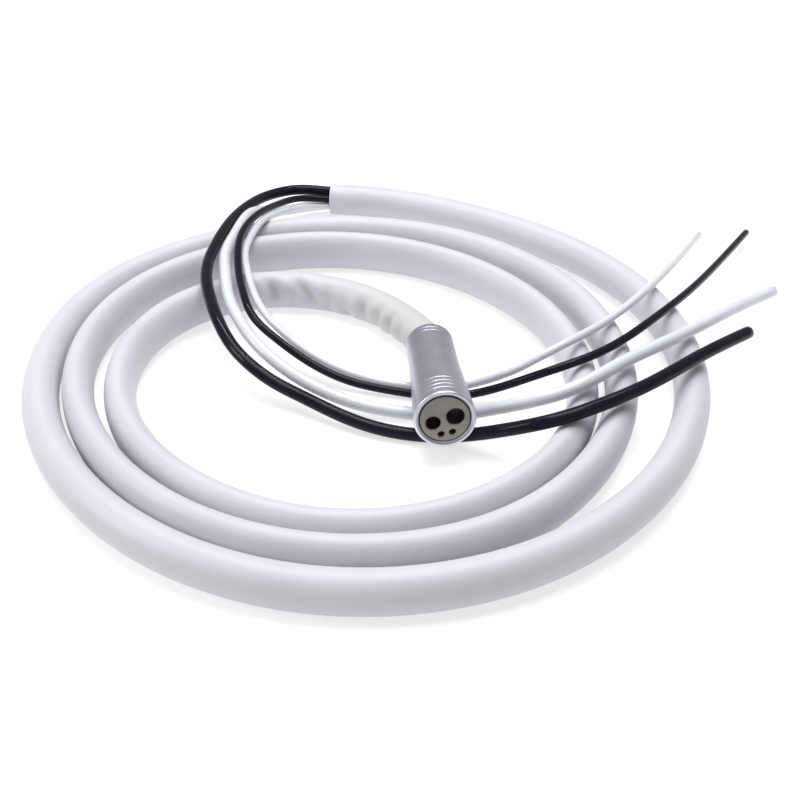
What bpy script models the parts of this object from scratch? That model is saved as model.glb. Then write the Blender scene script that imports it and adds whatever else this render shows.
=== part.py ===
"""Dental handpiece hose: a four-hole coupling, a soft sheath lying in a flat spiral, and four inner tubes.

The hose lies on the plane z = 0.  +X is the long way of the assembly, -Y is the side that the coupling's face
looks to, +Z is up.  All lengths are metres.

The sheath starts inside the coupling, runs round the spiral anticlockwise (seen from above) and ends in a
square cut.  Sheath and inner tubes share one list of cross-sections ("stations"), so the tubes keep their
places in the bore all the way round.
"""

from math import asin, ceil, cos, floor, pi, radians, sin

import bmesh
import bpy
import numpy as np
from mathutils import Matrix, Vector

# ---- Driving dimensions -----------------------------------------------------------------------
HOSE_RADIUS = 0.0047            # outer radius of the sheath where it is round
SHEATH_WALL = 0.0007
SHEATH_SIDES = 12
THICK_TUBE_RADIUS = 0.0016
THIN_TUBE_RADIUS = 0.00105
THICK_BORE_RADIUS = 0.0009
THIN_BORE_RADIUS = 0.0005
BORE_CLEARANCE = 0.00012        # between a tube and the sheath's bore
TUBE_GAP = 0.0001               # between the two thin tubes inside the sheath
FIT_GAP = 0.0003                # between pieces that touch
STATION_STEP = 18               # degrees of turn between two stations of the hose
CURVE_SAMPLES = 6000            # fine samples along the hose for placing its stations
HALF_SAMPLE = 0.0005            # half the distance over which a direction is read
TAIL_STEP = 0.009               # spacing of points along a free tube
BORE_DEPTH = 0.006              # how far a tube's hollow ends are modelled

# ---- Where the hose lies ----------------------------------------------------------------------
COIL_CENTRE = (-0.0225, -0.0112)
COIL_FIRST_ANGLE = -240         # degrees; later points follow every COIL_STEP
COIL_STEP = 30
COIL_RADII = (
    0.0445, 0.0505, 0.0525, 0.0530, 0.0550, 0.0590, 0.0615, 0.0615, 0.0595, 0.0580, 0.0585, 0.0610,
    0.0640, 0.0655, 0.0635, 0.0615, 0.0630, 0.0665, 0.0695, 0.0695, 0.0695, 0.0705, 0.0715, 0.0725,
    0.0740, 0.0755, 0.0725, 0.0700, 0.0710, 0.0750, 0.0795, 0.0835, 0.0870, 0.0890, 0.0900, 0.0965,
)
LEAD_POINTS = (                 # from the coupling's rear into the first turn
    (-0.0020, 0.0035, 0.0060),
    (-0.0060, 0.0108, 0.0052),
    (-0.0125, 0.0182, 0.0050),
)
HOSE_END = (-0.0290, 0.0860)

# A bent hose turns oval, taller than wide: share of the radius moved from width to height, by turn angle
OVAL_ANGLES = (-300, -210, 240, 360, 480, 600, 710, 790)
OVAL_SHARES = (0.00, 0.20, 0.22, 0.17, 0.13, 0.07, 0.12, 0.02)
# The bundle's roll in the bore, from the coupling's hole pattern to thin tubes on the inner side of the bend
ROLL_ANGLES = (-370, -300)
ROLL_DEGREES = (102, 0)

# ---- The coupling, measured along its axis from the face (z = 0), negative towards the rear ---
FACE_CENTRE = (0.0030, -0.0411, 0.0123)
COUPLING_TURN = 3.9             # degrees that the axis turns from -Y towards +X
COUPLING_RISE = 7.0             # degrees that the face is raised
SHEATH_START = -0.0220
SHEATH_SQUEEZE = 0.0002         # the ferrule presses the sheath's radius in by this much
NUT_EXIT = -0.0360              # the hose keeps to the axis as far as here
FLANGE_RADIUS = 0.00565
FLANGE_LENGTH = 0.0024
BARREL_RADIUS = 0.00475
NECK_RADIUS = 0.00455
NECK_START = -0.0090
CORE_END = -0.0120
NUT_LENGTH = 0.0379
NUT_FRONT = 0.0003
NUT_REAR_RADIUS = 0.0060
NUT_RIM_RADIUS = 0.00705
NUT_THREAD_RADIUS = 0.0059
NUT_SHOULDER_RADIUS = 0.00505
NUT_REAR_BORE = 0.00545
SHOULDER_FRONT = -0.0086
SHOULDER_REAR = -0.0096
WASHER_THICKNESS = 0.0007
WASHER_RADIUS = 0.00558
GRIP_GROOVES = (-0.0017, -0.0035, -0.0053, -0.0071)
GRIP_GROOVE_DEPTH = 0.0003
GRIP_GROOVE_STEP = 0.0003       # length of each slope and of the floor
LIP_GROOVES = (-0.0335, -0.0352)
LIP_GROOVE_DEPTH = 0.00015
LIP_GROOVE_STEP = 0.0002
NUT_FLARE_DEPTHS = (0.0012, 0.0120, 0.0220, 0.0360)
NUT_FLARE_RADII = (0.00703, 0.00655, 0.00612, 0.0060)
FERRULE_INNER = 0.00485
FERRULE_OUTER = 0.00515
FERRULE_FRONT = -0.0099
FERRULE_REAR = -0.0300
SPIGOT_LENGTH = 0.0090
SPIGOT_REACH = 0.0050           # how far a spigot stands out of the core
SLEEVE_WALL = 0.0003
SLEEVE_LENGTH = 0.0030
ROUND_SIDES = 40
CORE_SIDES = 24
CORE_CHAMFER = 0.0002
HOLE_SIDES = 12
SOCKET_SIDES = 8
RING_SIDES = 32                 # washer and ferrule

# The four ways: hole in the face (x to the right, y up, seen from the front), spigot in the rear, tube
WAYS = {
    "exhaust": {
        "hole": (0.00237, 0.00045), "hole_radius": 0.00203, "hole_depth": 0.0045,
        "spigot": (0.00230, 0.00045), "thick": True, "bundle": -90,
    },
    "drive_air": {
        "hole": (-0.00262, -0.00104), "hole_radius": 0.00165, "hole_depth": 0.0045,
        "spigot": (-0.00245, -0.00045), "thick": True, "bundle": 90,
    },
    "chip_air": {
        "hole": (-0.00079, -0.00390), "hole_radius": 0.00068, "hole_depth": 0.0018,
        "spigot": (-0.00070, -0.00343), "thick": False, "bundle": 180,
    },
    "water": {
        "hole": (0.00175, -0.00345), "hole_radius": 0.00070, "hole_depth": 0.0018,
        "spigot": (0.00159, -0.00312), "thick": False, "bundle": -180,
    },
}
THICK_SPIGOT_RADIUS = 0.0006
THIN_SPIGOT_RADIUS = 0.00032
PASSAGE_RADIUS = {True: 0.0006, False: 0.0003}
OVERCUT = 0.0010                # how far a cutter runs past the face that it opens

# ---- Free tubes: route points beyond the sheath's cut end -------------------------------------
TAILS = {
    "drive_air": (
        (-0.0390, 0.0870, 0.0076), (-0.0465, 0.0815, 0.0088), (-0.0525, 0.0690, 0.0112),
        (-0.0565, 0.0530, 0.0132), (-0.0585, 0.0375, 0.0140), (-0.0590, 0.0235, 0.0140),
        (-0.0560, 0.0090, 0.0132), (-0.0530, 0.0005, 0.0122), (-0.0485, -0.0080, 0.0100),
        (-0.0435, -0.0135, 0.0080), (-0.0375, -0.0175, 0.0057), (-0.0310, -0.0210, 0.0042),
        (-0.0190, -0.0280, 0.0025), (-0.0070, -0.0325, 0.0018), (0.0035, -0.0340, 0.0020),
        (0.0155, -0.0385, 0.0070), (0.0285, -0.0415, 0.0128), (0.0375, -0.0380, 0.0138),
        (0.0505, -0.0295, 0.0138), (0.0645, -0.0175, 0.0133), (0.0800, -0.0040, 0.0115),
    ),
    "exhaust": (
        (-0.0375, 0.0850, 0.0025), (-0.0455, 0.0765, 0.0052), (-0.0515, 0.0600, 0.0124),
        (-0.0540, 0.0445, 0.0136), (-0.0550, 0.0315, 0.0140), (-0.0535, 0.0205, 0.0138),
        (-0.0515, 0.0105, 0.0132), (-0.0480, 0.0015, 0.0122), (-0.0435, -0.0060, 0.0104),
        (-0.0375, -0.0120, 0.0080), (-0.0315, -0.0160, 0.0058), (-0.0190, -0.0215, 0.0028),
        (-0.0070, -0.0245, 0.0019), (0.0025, -0.0258, 0.0019), (0.0160, -0.0310, 0.0080),
        (0.0295, -0.0325, 0.0132), (0.0445, -0.0220, 0.0140), (0.0620, -0.0080, 0.0132),
        (0.0760, 0.0040, 0.0123), (0.0925, 0.0185, 0.0102),
    ),
    "chip_air": (
        (-0.0370, 0.0820, 0.0070), (-0.0440, 0.0715, 0.0102), (-0.0485, 0.0570, 0.0140),
        (-0.0515, 0.0420, 0.0155), (-0.0515, 0.0320, 0.0150), (-0.0505, 0.0240, 0.0136),
        (-0.0480, 0.0130, 0.0130), (-0.0440, 0.0030, 0.0110), (-0.0385, -0.0020, 0.0085),
        (-0.0320, -0.0060, 0.0055), (-0.0195, -0.0120, 0.0022), (-0.0070, -0.0155, 0.0014),
        (0.0055, -0.0175, 0.0015), (0.0150, -0.0180, 0.0038), (0.0240, -0.0205, 0.0092),
        (0.0320, -0.0205, 0.0126), (0.0410, -0.0155, 0.0131), (0.0555, -0.0015, 0.0130),
        (0.0705, 0.0185, 0.0106), (0.0840, 0.0405, 0.0070), (0.0990, 0.0660, 0.0032),
    ),
    "water": (
        (-0.0365, 0.0810, 0.0045), (-0.0430, 0.0700, 0.0082), (-0.0475, 0.0555, 0.0124),
        (-0.0495, 0.0435, 0.0134), (-0.0500, 0.0345, 0.0134), (-0.0480, 0.0235, 0.0130),
        (-0.0455, 0.0140, 0.0124), (-0.0415, 0.0055, 0.0108), (-0.0360, 0.0000, 0.0080),
        (-0.0290, -0.0045, 0.0050), (-0.0172, -0.0095, 0.0020), (-0.0045, -0.0128, 0.0012),
        (0.0060, -0.0135, 0.0013), (0.0145, -0.0140, 0.0040), (0.0215, -0.0158, 0.0086),
        (0.0285, -0.0150, 0.0126), (0.0430, -0.0030, 0.0131), (0.0555, 0.0115, 0.0130),
        (0.0635, 0.0240, 0.0116), (0.0730, 0.0420, 0.0080), (0.0840, 0.0640, 0.0036),
    ),
}

COLOURS = {                     # base colour, metallic, roughness
    "aluminium": ((0.60, 0.60, 0.64), 1.0, 0.35),
    "core_metal": ((0.50, 0.49, 0.46), 1.0, 0.30),
    "steel": ((0.62, 0.62, 0.62), 1.0, 0.25),
    "brass": ((0.75, 0.60, 0.30), 1.0, 0.30),
    "acetal": ((0.90, 0.90, 0.88), 0.0, 0.40),
    "sheath_silicone": ((0.72, 0.70, 0.76), 0.0, 0.45),
    "black_tube": ((0.012, 0.012, 0.016), 0.0, 0.20),
    "clear_tube": ((0.80, 0.83, 0.85), 0.0, 0.18),
}


def clear_scene():
    """Remove every object that the file opened with."""
    for item in list(bpy.data.objects):
        bpy.data.objects.remove(item, do_unlink=True)


def material(name):
    """The Principled material of one finish, made once."""
    found = bpy.data.materials.get(name)
    if found:
        return found
    colour, metallic, roughness = COLOURS[name]
    made = bpy.data.materials.new(name)
    made.use_nodes = True
    shader = made.node_tree.nodes["Principled BSDF"]
    shader.inputs["Base Color"].default_value = (*colour, 1.0)
    shader.inputs["Metallic"].default_value = metallic
    shader.inputs["Roughness"].default_value = roughness
    return made


def add_object(name, mesh, finish, parent=None):
    """Link a mesh as a named object with its finish, under its parent."""
    item = bpy.data.objects.new(name, mesh)
    item.data.materials.append(material(finish))
    item.parent = parent
    bpy.context.scene.collection.objects.link(item)
    mesh.shade_smooth()
    mesh.set_sharp_from_angle(angle=radians(35))
    return item


def loft(name, rings, ring_closes):
    """A closed skin over rings of equal point count: first and last ring are bridged, or both are capped."""
    shell = bmesh.new()
    loops = [[shell.verts.new(Vector(point)) for point in ring] for ring in rings]
    pairs = list(zip(loops, loops[1:]))
    if ring_closes:
        pairs.append((loops[-1], loops[0]))
    for near, far in pairs:
        for side in range(len(near)):
            ahead = (side + 1) % len(near)
            shell.faces.new((near[side], near[ahead], far[ahead], far[side]))
    if not ring_closes:
        shell.faces.new(loops[0][::-1])
        shell.faces.new(loops[-1])
    bmesh.ops.recalc_face_normals(shell, faces=shell.faces)
    mesh = bpy.data.meshes.new(name)
    shell.to_mesh(mesh)
    shell.free()
    return mesh


def turned(name, profile, sides=ROUND_SIDES):
    """A body of revolution about Z: the closed profile of (radius, height) points, spun in equal steps."""
    rings = []
    for radius, height in profile:
        angles = [2 * pi * step / sides for step in range(sides)]
        rings.append([(radius * cos(angle), radius * sin(angle), height) for angle in angles])
    return loft(name, rings, ring_closes=True)


def rod(name, radius, low, high, centre, sides):
    """A plain cylinder from low to high, used as a cutter."""
    rings = []
    for height in (low, high):
        angles = [2 * pi * step / sides for step in range(sides)]
        rings.append([(centre[0] + radius * cos(a), centre[1] + radius * sin(a), height) for a in angles])
    return loft(name, rings, ring_closes=False)


def cut(item, cutter_mesh, parent=None):
    """Subtract a cutter from an object with an exact Boolean modifier."""
    cutter = bpy.data.objects.new(cutter_mesh.name, cutter_mesh)
    cutter.parent = parent
    cutter.hide_render = True
    cutter.display_type = "WIRE"
    bpy.context.scene.collection.objects.link(cutter)
    modifier = item.modifiers.new(cutter_mesh.name, "BOOLEAN")
    modifier.operation = "DIFFERENCE"
    modifier.solver = "EXACT"
    modifier.object = cutter


def cubic(knots, values):
    """The natural cubic spline through values at knots, as a function that takes an array of parameters."""
    knots = np.asarray(knots, float)
    values = np.asarray(values, float)
    steps = np.diff(knots)[:, None]
    slopes = np.diff(values, axis=0) / steps
    count = len(knots)
    matrix = np.eye(count)
    right = np.zeros_like(values)
    for row in range(1, count - 1):
        matrix[row, row - 1] = steps[row - 1, 0]
        matrix[row, row] = 2 * (steps[row - 1, 0] + steps[row, 0])
        matrix[row, row + 1] = steps[row, 0]
        right[row] = 6 * (slopes[row] - slopes[row - 1])
    bends = np.linalg.solve(matrix, right)

    def at(parameters):
        parameters = np.asarray(parameters, float)
        span = np.clip(np.searchsorted(knots, parameters, side="right") - 1, 0, count - 2)
        step = steps[span]
        after = (knots[span + 1] - parameters)[:, None]
        before = (parameters - knots[span])[:, None]
        curved = (bends[span] * after**3 + bends[span + 1] * before**3) / (6 * step)
        straight = (values[span] / step - bends[span] * step / 6) * after
        return curved + straight + (values[span + 1] / step - bends[span + 1] * step / 6) * before

    return at


def chord_lengths(points):
    """Distance along the straight chords from the first point to each point."""
    return np.concatenate([[0.0], np.cumsum(np.linalg.norm(np.diff(points, axis=0), axis=1))])


def coupling_frame():
    """The coupling's matrix: local +Z out of the face, local +Y up, origin at the face's centre."""
    turn, rise = radians(COUPLING_TURN), radians(COUPLING_RISE)
    forward = Vector((sin(turn) * cos(rise), -cos(turn) * cos(rise), sin(rise)))
    right = Vector((cos(turn), sin(turn), 0))
    up = forward.cross(right)
    basis = Matrix((right, up, forward)).transposed().to_4x4()
    return Matrix.Translation(FACE_CENTRE) @ basis


def hose_route(frame):
    """Route points of the hose's centre line, from inside the coupling to the cut end."""
    route = [tuple(frame @ Vector((0, 0, depth))) for depth in (SHEATH_START, FERRULE_REAR, NUT_EXIT)]
    route += LEAD_POINTS
    for number, radius in enumerate(COIL_RADII):
        degrees = COIL_FIRST_ANGLE + COIL_STEP * number
        x = COIL_CENTRE[0] + radius * cos(radians(degrees))
        y = COIL_CENTRE[1] + radius * sin(radians(degrees))
        route.append((x, y, half_sizes(degrees)[1]))
    route.append((*HOSE_END, half_sizes(OVAL_ANGLES[-1])[1]))
    return np.array(route)


def hose_stations(frame):
    """Cross-sections of the hose at equal steps of turn: centre, outward and up axes, turn angle."""
    route = hose_route(frame)
    along = chord_lengths(route)
    curve = cubic(along, route)
    fine = np.linspace(0, along[-1], CURVE_SAMPLES)
    trace = curve(fine)
    turns = np.unwrap(np.arctan2(trace[:, 1] - COIL_CENTRE[1], trace[:, 0] - COIL_CENTRE[0]))
    turns = np.degrees(turns) - 360
    grip = np.interp(SHEATH_START - FERRULE_REAR + HALF_SAMPLE, fine, turns)
    first = ceil(grip / STATION_STEP + 0.2)
    last = floor(turns[-1] / STATION_STEP - 0.3)
    steps = [STATION_STEP * step for step in range(first, last + 1)]
    marks = np.array([turns[0], grip, *steps, turns[-1]])
    places = np.interp(marks, turns, fine)
    centres = curve(places)
    ahead = np.minimum(places + HALF_SAMPLE, along[-1])
    behind = np.maximum(places - HALF_SAMPLE, 0)
    heading = curve(ahead) - curve(behind)
    heading /= np.linalg.norm(heading, axis=1)[:, None]
    outward = np.stack([heading[:, 1], -heading[:, 0], np.zeros(len(marks))], axis=1)
    outward /= np.linalg.norm(outward, axis=1)[:, None]
    upward = np.cross(outward, heading)
    return {"centre": centres, "heading": heading, "out": outward, "up": upward, "turn": marks}


def half_sizes(turn):
    """Half width and half height of the sheath's outside at a turn angle."""
    share = np.interp(turn, OVAL_ANGLES, OVAL_SHARES)
    return HOSE_RADIUS * (1 - share), HOSE_RADIUS * (1 + share)


def hose_sheath(stations):
    """The hollow sheath: oval rings along the outside, then back along the bore."""
    angles = [2 * pi * side / SHEATH_SIDES for side in range(SHEATH_SIDES)]
    skins = {}
    for skin, wall in (("outer", 0.0), ("bore", SHEATH_WALL)):
        rings = []
        for number, turn in enumerate(stations["turn"]):
            wide, high = half_sizes(turn)
            if skin == "outer" and number < 2:
                wide, high = wide - SHEATH_SQUEEZE, high - SHEATH_SQUEEZE
            centre, out, up = (stations[key][number] for key in ("centre", "out", "up"))
            rings.append([
                centre + (wide - wall) * cos(angle) * out + (high - wall) * sin(angle) * up
                for angle in angles
            ])
        skins[skin] = rings
    mesh = loft("hose_sheath", skins["outer"] + skins["bore"][::-1], ring_closes=True)
    return add_object("hose_sheath", mesh, "sheath_silicone")


def bundle_offset(way, turn):
    """Where a tube's centre lies in the sheath's bore: distance outward and distance up."""
    radius = THICK_TUBE_RADIUS if way["thick"] else THIN_TUBE_RADIUS
    wide, high = (half - SHEATH_WALL - radius - BORE_CLEARANCE for half in half_sizes(turn))
    roll = np.interp(turn, ROLL_ANGLES, ROLL_DEGREES)
    if way["thick"]:
        lean = np.interp(roll, (0, ROLL_DEGREES[0]), (70, 90))
        angle = roll + lean * (1 if way["bundle"] > 0 else -1)
    else:
        part = np.degrees(asin((THIN_TUBE_RADIUS + TUBE_GAP / 2) / high))
        angle = roll + 180 - part * (1 if way["bundle"] > 0 else -1)
    return wide * cos(radians(angle)), high * sin(radians(angle))


def tube_points(name, way, frame, stations):
    """A tube's centre line: off its spigot, through the sheath, then along its free route."""
    x, y = way["spigot"]
    points = [frame @ Vector((x, y, depth)) for depth in (CORE_END - FIT_GAP, CORE_END - BORE_DEPTH)]
    points = [np.array(point) for point in points]
    for number, turn in enumerate(stations["turn"]):
        out, up = bundle_offset(way, turn)
        centre = stations["centre"][number]
        points.append(centre + out * stations["out"][number] + up * stations["up"][number])
    inside = points[-1] - 0.008 * stations["heading"][-1]
    tail = np.array([inside, points[-1], *TAILS[name]])
    along = chord_lengths(tail)
    count = int(round((along[-1] - along[1]) / TAIL_STEP))
    points += list(cubic(along, tail)(np.linspace(along[1], along[-1], count + 1))[1:])
    return np.array(points)


def pipe(name, points, radius, bore, finish):
    """A round tube along points: a POLY curve with a bevel, made a mesh, its two ends bored hollow."""
    curve = bpy.data.curves.new(name, "CURVE")
    curve.dimensions = "3D"
    curve.bevel_depth = radius
    curve.bevel_resolution = 2
    curve.use_fill_caps = True
    spline = curve.splines.new("POLY")
    spline.points.add(len(points) - 1)
    for place, point in zip(spline.points, points):
        place.co = (*point, 1.0)
    guide = bpy.data.objects.new(name + "_route", curve)
    bpy.context.scene.collection.objects.link(guide)
    mesh = bpy.data.meshes.new_from_object(guide.evaluated_get(bpy.context.evaluated_depsgraph_get()))
    bpy.data.objects.remove(guide, do_unlink=True)
    shell = bmesh.new()
    shell.from_mesh(mesh)
    bmesh.ops.remove_doubles(shell, verts=shell.verts, dist=0.00001)
    bmesh.ops.recalc_face_normals(shell, faces=shell.faces)
    shell.to_mesh(mesh)
    shell.free()
    mesh.name = name
    item = add_object(name, mesh, finish)
    for label, end, inner in (("start", points[0], points[1]), ("end", points[-1], points[-2])):
        axis = Vector(end - inner).normalized()
        depth = 0.96 * min(BORE_DEPTH, float(np.linalg.norm(end - inner)))
        cutter = rod(f"{name}_{label}_bore", bore, -depth, BORE_DEPTH, (0, 0), 8)
        cutter.transform(Matrix.Translation(end) @ axis.to_track_quat("Z", "Y").to_matrix().to_4x4())
        cut(item, cutter)
    return item


def flare(depth):
    """The nut's plain outside radius at a depth along the axis."""
    return float(np.interp(-depth, NUT_FLARE_DEPTHS, NUT_FLARE_RADII))


def groove(start, depth, step):
    """Profile points of a groove in the nut: down, along its floor and up again."""
    return [
        (flare(start), start),
        (flare(start) - depth, start - step),
        (flare(start) - depth, start - 2 * step),
        (flare(start - 3 * step), start - 3 * step),
    ]


def coupling_nut(parent):
    """The long sleeve nut: flared grip at the front, four grip grooves, rounded lip with two fine grooves."""
    front, rear = NUT_FRONT, NUT_FRONT - NUT_LENGTH
    outside = [
        (NUT_RIM_RADIUS - 0.0005, front),
        (NUT_RIM_RADIUS - 0.0001, front - 0.0004),
        (NUT_RIM_RADIUS, front - 0.0012),
    ]
    for start in GRIP_GROOVES:
        outside += groove(start, GRIP_GROOVE_DEPTH, GRIP_GROOVE_STEP)
    outside.append((flare(-NUT_FLARE_DEPTHS[2]), -NUT_FLARE_DEPTHS[2]))
    for start in LIP_GROOVES:
        outside += groove(start, LIP_GROOVE_DEPTH, LIP_GROOVE_STEP)
    outside += [
        (NUT_REAR_RADIUS, rear + 0.0006),
        (NUT_REAR_RADIUS - 0.0002, rear + 0.00015),
        (NUT_REAR_RADIUS - 0.00035, rear),
    ]
    inside = [
        (NUT_REAR_BORE, rear),
        (NUT_REAR_BORE, SHOULDER_REAR),
        (NUT_SHOULDER_RADIUS, SHOULDER_REAR),
        (NUT_SHOULDER_RADIUS, SHOULDER_FRONT),
        (NUT_THREAD_RADIUS, SHOULDER_FRONT),
        (NUT_THREAD_RADIUS, front - 0.0003),
        (NUT_THREAD_RADIUS + 0.0003, front),
    ]
    return add_object("coupling_nut", turned("coupling_nut", outside + inside), "aluminium", parent)


def thrust_washer(parent):
    """A plain ring that rides in front of the nut's shoulder."""
    rear = SHOULDER_FRONT + FIT_GAP
    front = rear + WASHER_THICKNESS
    profile = [
        (NUT_SHOULDER_RADIUS, front), (WASHER_RADIUS, front),
        (WASHER_RADIUS, rear), (NUT_SHOULDER_RADIUS, rear),
    ]
    return add_object("thrust_washer", turned("thrust_washer", profile, RING_SIDES), "acetal", parent)


def connector_core(parent):
    """Flange, barrel and neck in one turned body, with four stepped ways through it."""
    profile = [
        (FLANGE_RADIUS - CORE_CHAMFER, 0), (FLANGE_RADIUS, -CORE_CHAMFER), (FLANGE_RADIUS, -FLANGE_LENGTH),
        (BARREL_RADIUS, -FLANGE_LENGTH), (BARREL_RADIUS, NECK_START), (NECK_RADIUS, NECK_START),
        (NECK_RADIUS, CORE_END),
    ]
    angles = [2 * pi * step / CORE_SIDES for step in range(CORE_SIDES)]
    rings = [[(radius * cos(a), radius * sin(a), height) for a in angles] for radius, height in profile]
    mesh = loft("connector_core", rings, ring_closes=False)
    core = add_object("connector_core", mesh, "core_metal", parent)
    for name, way in WAYS.items():
        floor_depth = -way["hole_depth"]
        socket_radius = spigot_radius(way) + FIT_GAP
        socket_floor = CORE_END + SPIGOT_LENGTH - SPIGOT_REACH + FIT_GAP
        hole = rod(name + "_hole", way["hole_radius"], floor_depth, OVERCUT, way["hole"], HOLE_SIDES)
        passage = rod(name + "_passage", PASSAGE_RADIUS[way["thick"]], socket_floor - OVERCUT,
                      floor_depth + OVERCUT / 2, way["spigot"], SOCKET_SIDES)
        socket = rod(name + "_socket", socket_radius, CORE_END - OVERCUT, socket_floor, way["spigot"],
                     SOCKET_SIDES)
        for cutter in (hole, passage, socket):
            cut(core, cutter, parent)
    return core


def spigot_radius(way):
    """A spigot's outer radius by the size of its tube."""
    return THICK_SPIGOT_RADIUS if way["thick"] else THIN_SPIGOT_RADIUS


def spigot(name, way, parent):
    """A hollow pin with two barbs, standing in its socket in the core's rear."""
    radius = spigot_radius(way)
    barb = 0.00008 if way["thick"] else 0.00003
    tip = CORE_END - SPIGOT_REACH
    base = tip + SPIGOT_LENGTH
    profile = [
        (radius, base), (radius, tip + 0.0024), (radius + barb, tip + 0.0024), (radius, tip + 0.0013),
        (radius + barb, tip + 0.0013), (radius * 0.85, tip), (radius * 0.5, tip), (radius * 0.5, base),
    ]
    mesh = turned(name, profile, 12)
    mesh.transform(Matrix.Translation((*way["spigot"], 0)))
    return add_object(name, mesh, "steel", parent)


def tube_sleeve(name, way, parent):
    """A short ring over a thick tube where it sits on its spigot."""
    inner = THICK_TUBE_RADIUS + FIT_GAP
    front = CORE_END - 0.0010
    profile = [
        (inner, front), (inner + SLEEVE_WALL, front), (inner + SLEEVE_WALL, front - SLEEVE_LENGTH),
        (inner, front - SLEEVE_LENGTH),
    ]
    mesh = turned(name, profile, 20)
    mesh.transform(Matrix.Translation((*way["spigot"], 0)))
    return add_object(name, mesh, "brass", parent)


def sheath_ferrule(parent):
    """A thin shell from the core's neck back over the sheath's end."""
    profile = [
        (FERRULE_INNER, FERRULE_FRONT), (FERRULE_OUTER, FERRULE_FRONT), (FERRULE_OUTER, FERRULE_REAR),
        (FERRULE_INNER, FERRULE_REAR),
    ]
    return add_object("sheath_ferrule", turned("sheath_ferrule", profile, RING_SIDES), "steel", parent)


def main():
    clear_scene()
    frame = coupling_frame()
    coupling = bpy.data.objects.new("coupling", None)
    coupling.matrix_world = frame
    bpy.context.scene.collection.objects.link(coupling)
    coupling_nut(coupling)
    thrust_washer(coupling)
    connector_core(coupling)
    sheath_ferrule(coupling)
    stations = hose_stations(frame)
    hose_sheath(stations)
    for name, way in WAYS.items():
        spigot(name + "_spigot", way, coupling)
        if way["thick"]:
            tube_sleeve(name + "_sleeve", way, coupling)
        radius = THICK_TUBE_RADIUS if way["thick"] else THIN_TUBE_RADIUS
        bore = THICK_BORE_RADIUS if way["thick"] else THIN_BORE_RADIUS
        finish = "black_tube" if name in ("drive_air", "chip_air") else "clear_tube"
        pipe(name + "_tube", tube_points(name, way, frame, stations), radius, bore, finish)


main()
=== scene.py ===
"""Looks of a dental handpiece hose: soft sheath in a flat spiral, four free inner tubes, a metal coupling.

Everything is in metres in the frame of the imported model: +X the long way, -Y the side that the coupling's
face looks to, +Z up, and the hose lies on z = 0.  Sheath, tubes and nut are grids of points: rows along a
path or an outline, sides round it.  The core is a turned solid with its holes cut out.
"""

from math import cos, pi, radians, sin

import bpy
import numpy as np
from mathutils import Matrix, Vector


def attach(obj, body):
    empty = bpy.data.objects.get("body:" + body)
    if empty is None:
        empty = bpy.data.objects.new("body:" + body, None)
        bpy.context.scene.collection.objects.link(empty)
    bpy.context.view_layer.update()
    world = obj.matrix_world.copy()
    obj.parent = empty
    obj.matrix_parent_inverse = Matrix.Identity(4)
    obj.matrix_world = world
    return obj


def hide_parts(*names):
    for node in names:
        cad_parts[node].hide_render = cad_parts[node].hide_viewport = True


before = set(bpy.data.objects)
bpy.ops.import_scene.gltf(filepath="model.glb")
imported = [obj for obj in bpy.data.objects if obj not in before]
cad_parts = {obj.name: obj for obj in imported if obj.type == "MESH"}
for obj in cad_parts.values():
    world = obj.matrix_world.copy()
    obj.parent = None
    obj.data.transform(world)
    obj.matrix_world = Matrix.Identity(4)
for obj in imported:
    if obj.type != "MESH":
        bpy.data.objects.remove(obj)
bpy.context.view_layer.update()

# ---- The hose's own numbers, as the model has them -----------------------------------------------------
HOSE_RADIUS = 0.0047
SHEATH_WALL = 0.0007
THICK_TUBE_RADIUS = 0.0016
THIN_TUBE_RADIUS = 0.00105
THICK_BORE_RADIUS = 0.0009
THIN_BORE_RADIUS = 0.0005
BORE_CLEARANCE = 0.00012
TUBE_GAP = 0.0001
COIL_CENTRE = (-0.0225, -0.0112)
COIL_FIRST_ANGLE = -240
COIL_STEP = 30
COIL_RADII = (
    0.0445, 0.0505, 0.0525, 0.0530, 0.0550, 0.0590, 0.0615, 0.0615, 0.0595, 0.0580, 0.0585, 0.0610,
    0.0640, 0.0655, 0.0635, 0.0615, 0.0630, 0.0665, 0.0695, 0.0695, 0.0695, 0.0705, 0.0715, 0.0725,
    0.0740, 0.0755, 0.0725, 0.0700, 0.0710, 0.0750, 0.0795, 0.0835, 0.0870, 0.0890, 0.0900, 0.0965,
)
LEAD_POINTS = ((-0.0020, 0.0035, 0.0060), (-0.0060, 0.0108, 0.0052), (-0.0125, 0.0182, 0.0050))
HOSE_END = (-0.0290, 0.0860)
OVAL_ANGLES = (-300, -210, 240, 360, 480, 600, 710, 790)
OVAL_SHARES = (0.00, 0.20, 0.22, 0.17, 0.13, 0.07, 0.12, 0.02)
ROLL_ANGLES = (-370, -300)
ROLL_DEGREES = (102, 0)

# ---- The coupling, along its axis: 0 at the core's face, negative towards the rear ---------------------
FACE_CENTRE = (0.0030, -0.0411, 0.0123)
COUPLING_TURN = 3.9
COUPLING_RISE = 7.0
SHEATH_START = -0.0220
SHEATH_SQUEEZE = 0.0002
FERRULE_REAR = -0.0300
NUT_EXIT = -0.0360
NUT_FRONT = 0.0003
NUT_REAR = -0.0376
CORE_END = -0.0120
TUBE_START = CORE_END - 0.0003
TUBE_STRAIGHT = CORE_END - 0.0060

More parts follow.
